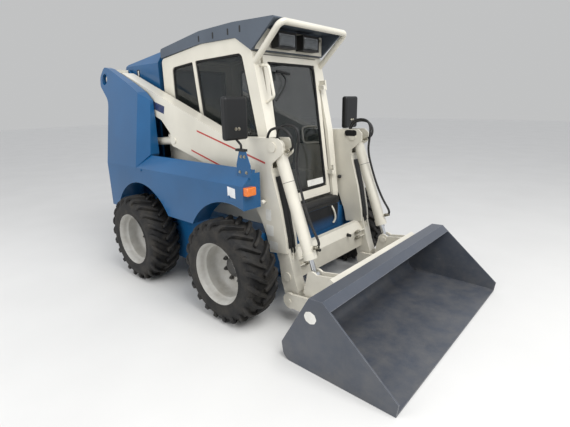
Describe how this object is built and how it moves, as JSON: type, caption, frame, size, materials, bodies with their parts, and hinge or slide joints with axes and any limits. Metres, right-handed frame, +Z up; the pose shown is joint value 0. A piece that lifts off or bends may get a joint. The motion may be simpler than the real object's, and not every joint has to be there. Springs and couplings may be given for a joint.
{
  "type": "skid steer loader",
  "caption": "Compact wheeled loader with a cab, twin lift arms pivoted on rear towers and a wide dirt bucket on a tilting carrier.",
  "frame": {"origin": "ground, under the middle of the whole machine's box", "axes": "+X forward, +Y the machine's left, +Z up"},
  "size_m": [3.324, 1.796, 2.1058],
  "materials": {
    "blue_paint": "satin paint, blue",
    "white_paint": "gloss paint, cream white",
    "bucket_paint": "satin paint, slate grey",
    "black_paint": "satin paint, black",
    "rim_paint": "gloss paint, light grey",
    "tyre_rubber": "dusty rubber",
    "roof_plastic": "textured plastic, blue grey",
    "black_plastic": "moulded plastic, black",
    "clear_glass": "tinted safety glass",
    "chrome_rod": "polished",
    "seat_vinyl": "grained vinyl, black",
    "orange_lens": "moulded lens, orange",
    "red_lens": "moulded lens, red",
    "cast_block": "cast and dull"
  },
  "bodies": {
    "machine": {"chassis_tub": "blue_paint", "chain_cases": "blue_paint", "axle_tubes": "black_paint", "engine_block": "cast_block", "rear_bumper": "blue_paint", "uprights": "blue_paint", "fenders": "blue_paint", "bay_frame": "black_paint", "cab_frame": "white_paint", "cab_roof": "roof_plastic", "brow": "white_paint", "header_panel": "black_plastic", "work_lamps": "black_plastic", "side_windows": "clear_glass", "rear_window": "clear_glass", "seat_base": "black_paint", "seat_cushion": "seat_vinyl", "seat_back": "seat_vinyl", "control_consoles": "white_paint", "control_levers": "black_plastic", "front_step": "black_plastic", "grab_handle": "white_paint", "mirrors": "black_plastic", "mirror_brackets": "blue_paint", "indicator_lamps": "orange_lens", "rear_lamps": "red_lens"},
    "front_door": {"door_frame": "white_paint", "door_glass": "clear_glass"},
    "hood": {"engine_hood": "blue_paint"},
    "rear_door": {"tailgate": "blue_paint"},
    "lift_arms": {"arm_left": "white_paint", "arm_right": "white_paint", "cross_member": "white_paint"},
    "wheel_rear_left": {"tyre_rear_left": "tyre_rubber", "rim_rear_left": "rim_paint"},
    "wheel_rear_right": {"tyre_rear_right": "tyre_rubber", "rim_rear_right": "rim_paint"},
    "wheel_front_left": {"tyre_front_left": "tyre_rubber", "rim_front_left": "rim_paint"},
    "wheel_front_right": {"tyre_front_right": "tyre_rubber", "rim_front_right": "rim_paint"},
    "tool": {"tool_carrier": "white_paint", "bucket": "bucket_paint"},
    "lift_barrel_left": {"lift_barrel_left": "white_paint"},
    "lift_rod_left": {"lift_rod_left": "chrome_rod"},
    "tilt_barrel_left": {"tilt_barrel_left": "white_paint"},
    "tilt_rod_left": {"tilt_rod_left": "chrome_rod"},
    "lift_barrel_right": {"lift_barrel_right": "white_paint"},
    "lift_rod_right": {"lift_rod_right": "chrome_rod"},
    "tilt_barrel_right": {"tilt_barrel_right": "white_paint"},
    "tilt_rod_right": {"tilt_rod_right": "chrome_rod"}
  },
  "joints": [
    {"name": "roll_rear_left", "type": "hinge", "parent": "machine", "child": "wheel_rear_left", "pos_m": [-0.9165, 0.766, 0.3865], "axis": [0, 1, 0], "continuous": true},
    {"name": "roll_rear_right", "type": "hinge", "parent": "machine", "child": "wheel_rear_right", "pos_m": [-0.9165, -0.766, 0.3865], "axis": [0, 1, 0], "continuous": true},
    {"name": "roll_front_left", "type": "hinge", "parent": "machine", "child": "wheel_front_left", "pos_m": [0.2625, 0.766, 0.3865], "axis": [0, 1, 0], "continuous": true},
    {"name": "roll_front_right", "type": "hinge", "parent": "machine", "child": "wheel_front_right", "pos_m": [0.2625, -0.766, 0.3865], "axis": [0, 1, 0], "continuous": true},
    {"name": "lift", "type": "hinge", "parent": "machine", "child": "lift_arms", "pos_m": [-1.567, 0, 1.785], "axis": [0, -1, 0], "range_deg": [0, 60]},
    {"name": "tilt", "type": "hinge", "parent": "lift_arms", "child": "tool", "pos_m": [0.673, 0, 0.188], "axis": [0, 1, 0], "range_deg": [-18, 95]},
    {"name": "lift_barrel_left", "type": "hinge", "parent": "machine", "child": "lift_barrel_left", "pos_m": [-1.417, 0.5, 1.19], "axis": [0, -1, 0], "range_deg": [0, 52]},
    {"name": "lift_rod_left", "type": "slide", "parent": "lift_barrel_left", "child": "lift_rod_left", "axis": [0.9972, 0, 0.0745], "range_m": [0, 0.594]},
    {"name": "tilt_barrel_left", "type": "hinge", "parent": "lift_arms", "child": "tilt_barrel_left", "pos_m": [0.523, 0.5, 1.262], "axis": [0, 1, 0], "range_deg": [-1, 5]},
    {"name": "tilt_rod_left", "type": "slide", "parent": "tilt_barrel_left", "child": "tilt_rod_left", "axis": [0.3496, 0, -0.9369], "range_m": [-0.072, 0.38]},
    {"name": "lift_barrel_right", "type": "hinge", "parent": "machine", "child": "lift_barrel_right", "pos_m": [-1.417, -0.5, 1.19], "axis": [0, -1, 0], "range_deg": [0, 52]},
    {"name": "lift_rod_right", "type": "slide", "parent": "lift_barrel_right", "child": "lift_rod_right", "axis": [0.9972, 0, 0.0745], "range_m": [0, 0.594]},
    {"name": "tilt_barrel_right", "type": "hinge", "parent": "lift_arms", "child": "tilt_barrel_right", "pos_m": [0.523, -0.5, 1.262], "axis": [0, 1, 0], "range_deg": [-1, 5]},
    {"name": "tilt_rod_right", "type": "slide", "parent": "tilt_barrel_right", "child": "tilt_rod_right", "axis": [0.3496, 0, -0.9369], "range_m": [-0.072, 0.38]},
    {"name": "door", "type": "hinge", "parent": "machine", "child": "front_door", "pos_m": [0.40469, 0.342, 0.98], "axis": [-0.1416, 0, 0.9899], "range_deg": [0, 90]},
    {"name": "hood", "type": "hinge", "parent": "machine", "child": "hood", "pos_m": [-0.987, 0, 1.985], "axis": [0, 1, 0], "range_deg": [0, 60]},
    {"name": "tailgate", "type": "hinge", "parent": "machine", "child": "rear_door", "pos_m": [-1.633, 0.446, 1.06], "axis": [0, 0, -1], "range_deg": [0, 100]}
  ],
  "couplings": [
    {"joint": "lift_barrel_left", "follows": "lift", "ratio": 0.8595},
    {"joint": "lift_rod_left", "follows": "lift", "m_per_rad": 0.566},
    {"joint": "tilt_barrel_left", "follows": "tilt", "ratio": 0.05},
    {"joint": "tilt_rod_left", "follows": "tilt", "m_per_rad": 0.228},
    {"joint": "lift_barrel_right", "follows": "lift", "ratio": 0.8595},
    {"joint": "lift_rod_right", "follows": "lift", "m_per_rad": 0.566},
    {"joint": "tilt_barrel_right", "follows": "tilt", "ratio": 0.05},
    {"joint": "tilt_rod_right", "follows": "tilt", "m_per_rad": 0.228}
  ]
}
